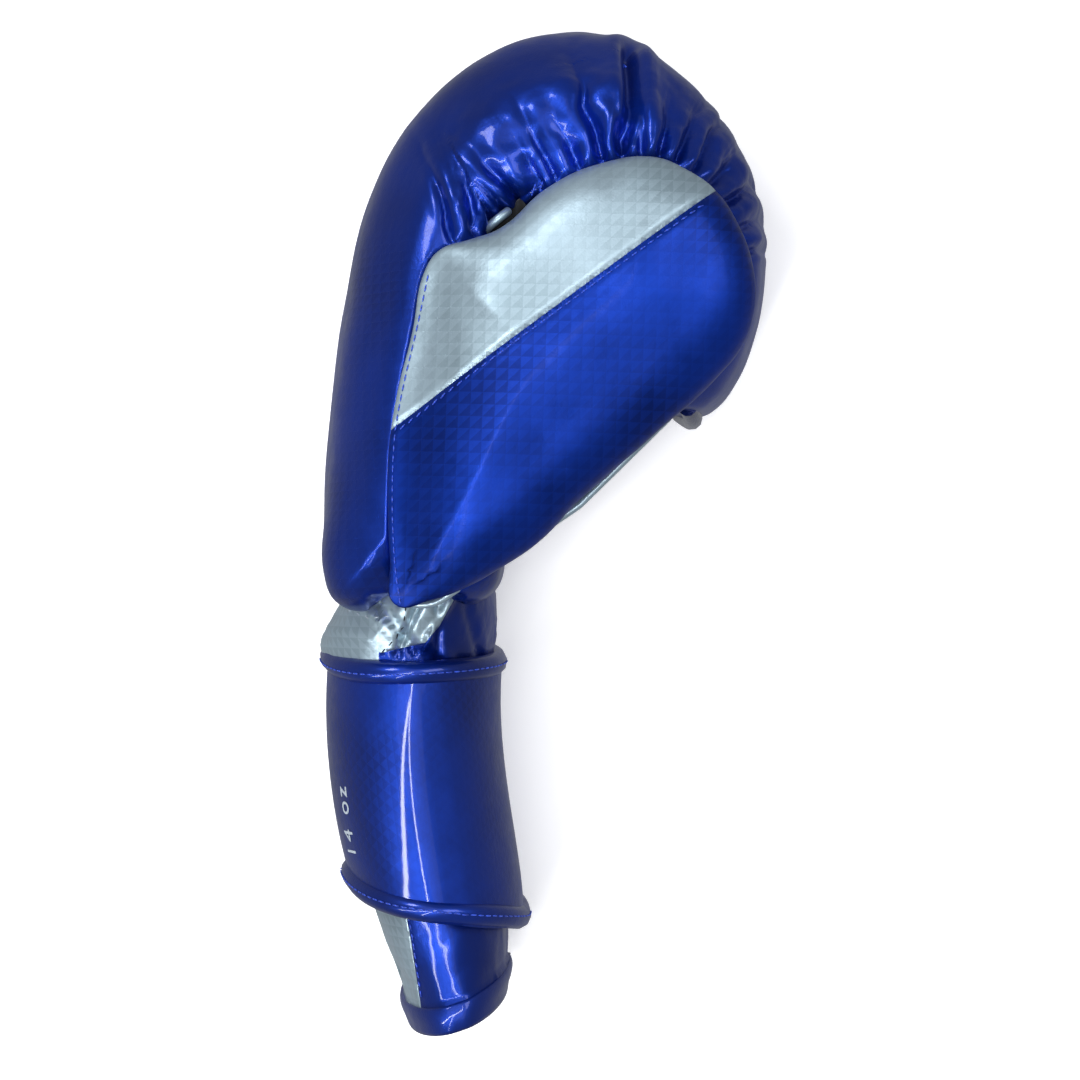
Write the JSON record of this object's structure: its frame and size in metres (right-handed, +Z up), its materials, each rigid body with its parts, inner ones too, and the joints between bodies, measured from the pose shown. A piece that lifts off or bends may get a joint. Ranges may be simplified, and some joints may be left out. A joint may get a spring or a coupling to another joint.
{
  "type": "boxing glove",
  "caption": "Left-hand padded boxing glove lying on its side: curved foam mitt, sewn thumb lobe, soft wrist, slit cuff and wide padded hook-and-loop wrist strap.",
  "frame": {"origin": "bottom centre of the glove's box, on the surface that its little-finger side lies on", "axes": "+X from the back of the hand to the palm, +Y from the cuff's mouth to the knuckles, +Z up towards the thumb"},
  "size_m": [0.1478, 0.3346, 0.1503],
  "materials": {
    "blue_leather": "metallic coated, semi-gloss",
    "blue_binding": "glossy coated",
    "silver_leather": "metallic coated, satin",
    "foam": "moulded foam",
    "lining": "brushed polyester",
    "black_elastic": "woven elastic",
    "hook_tape": "nylon hook tape",
    "loop_tape": "brushed loop tape"
  },
  "bodies": {
    "mitt": {"back_shell": "blue_leather", "palm_panel": "blue_leather", "finger_panel": "blue_leather", "palm_pad": "foam", "foam_inner": "foam", "foam_outer": "foam", "hand_liner": "lining", "passage_liner": "lining", "grip_bar": "foam", "grip_bar_cover": "blue_leather", "lip_binding": "blue_binding", "side_seam_cord": "blue_binding", "thumb_lock_strap": "black_elastic", "wrist_gusset_silver": "silver_leather", "wrist_gusset_blue": "blue_leather"},
    "thumb": {"thumb_panel_silver": "silver_leather", "thumb_panel_blue": "blue_leather", "thumb_under_panel": "silver_leather", "thumb_foam": "foam", "thumb_liner": "lining", "thumb_lock_tab": "silver_leather", "thumb_piping": "silver_leather"},
    "cuff": {"cuff_panel_silver": "silver_leather", "cuff_panel_blue": "blue_leather", "cuff_foam": "foam", "cuff_liner": "lining", "mouth_binding": "blue_binding", "slit_gusset": "black_elastic", "loop_patch": "loop_tape", "strap_anchor": "blue_leather"},
    "strap_inner": {"strap_inner_lining": "lining", "strap_inner_foam": "foam", "strap_inner_cover": "blue_leather", "strap_inner_top_binding": "blue_binding", "strap_inner_bottom_binding": "blue_binding"},
    "strap_outer": {"strap_outer_lining": "lining", "strap_outer_foam": "foam", "strap_outer_cover": "blue_leather", "strap_outer_top_binding": "blue_binding", "strap_outer_bottom_binding": "blue_binding", "strap_end_binding": "blue_binding", "hook_patch": "hook_tape"}
  },
  "joints": [
    {"name": "wrist_flex", "type": "hinge", "parent": "mitt", "child": "cuff", "pos_m": [-0.04109, -0.02771, 0.054], "axis": [0, 0, 1], "range_deg": [-15, 15], "stiffness_Nm_per_rad": 0.3, "deforming": ["wrist_gusset_silver", "wrist_gusset_blue"]},
    {"name": "thumb_lift", "type": "hinge", "parent": "mitt", "child": "thumb", "pos_m": [-0.04552, 0.0368, 0.10815], "axis": [-0.1064, -0.9943, 0], "range_deg": [0, 12], "deforming": ["thumb_lock_strap"]},
    {"name": "strap_root", "type": "hinge", "parent": "cuff", "child": "strap_inner", "pos_m": [-0.06854, -0.10383, 0.04149], "axis": [0.1314, -0.9894, -0.0618], "range_deg": [0, 55]},
    {"name": "strap_fold", "type": "hinge", "parent": "strap_inner", "child": "strap_outer", "pos_m": [-0.02972, -0.1021, 0.09639], "axis": [0.1314, -0.9894, -0.0618], "range_deg": [0, 110]}
  ],
  "couplings": [
    {"joint": "strap_root", "follows": "strap_fold", "ratio": 0.5}
  ]
}
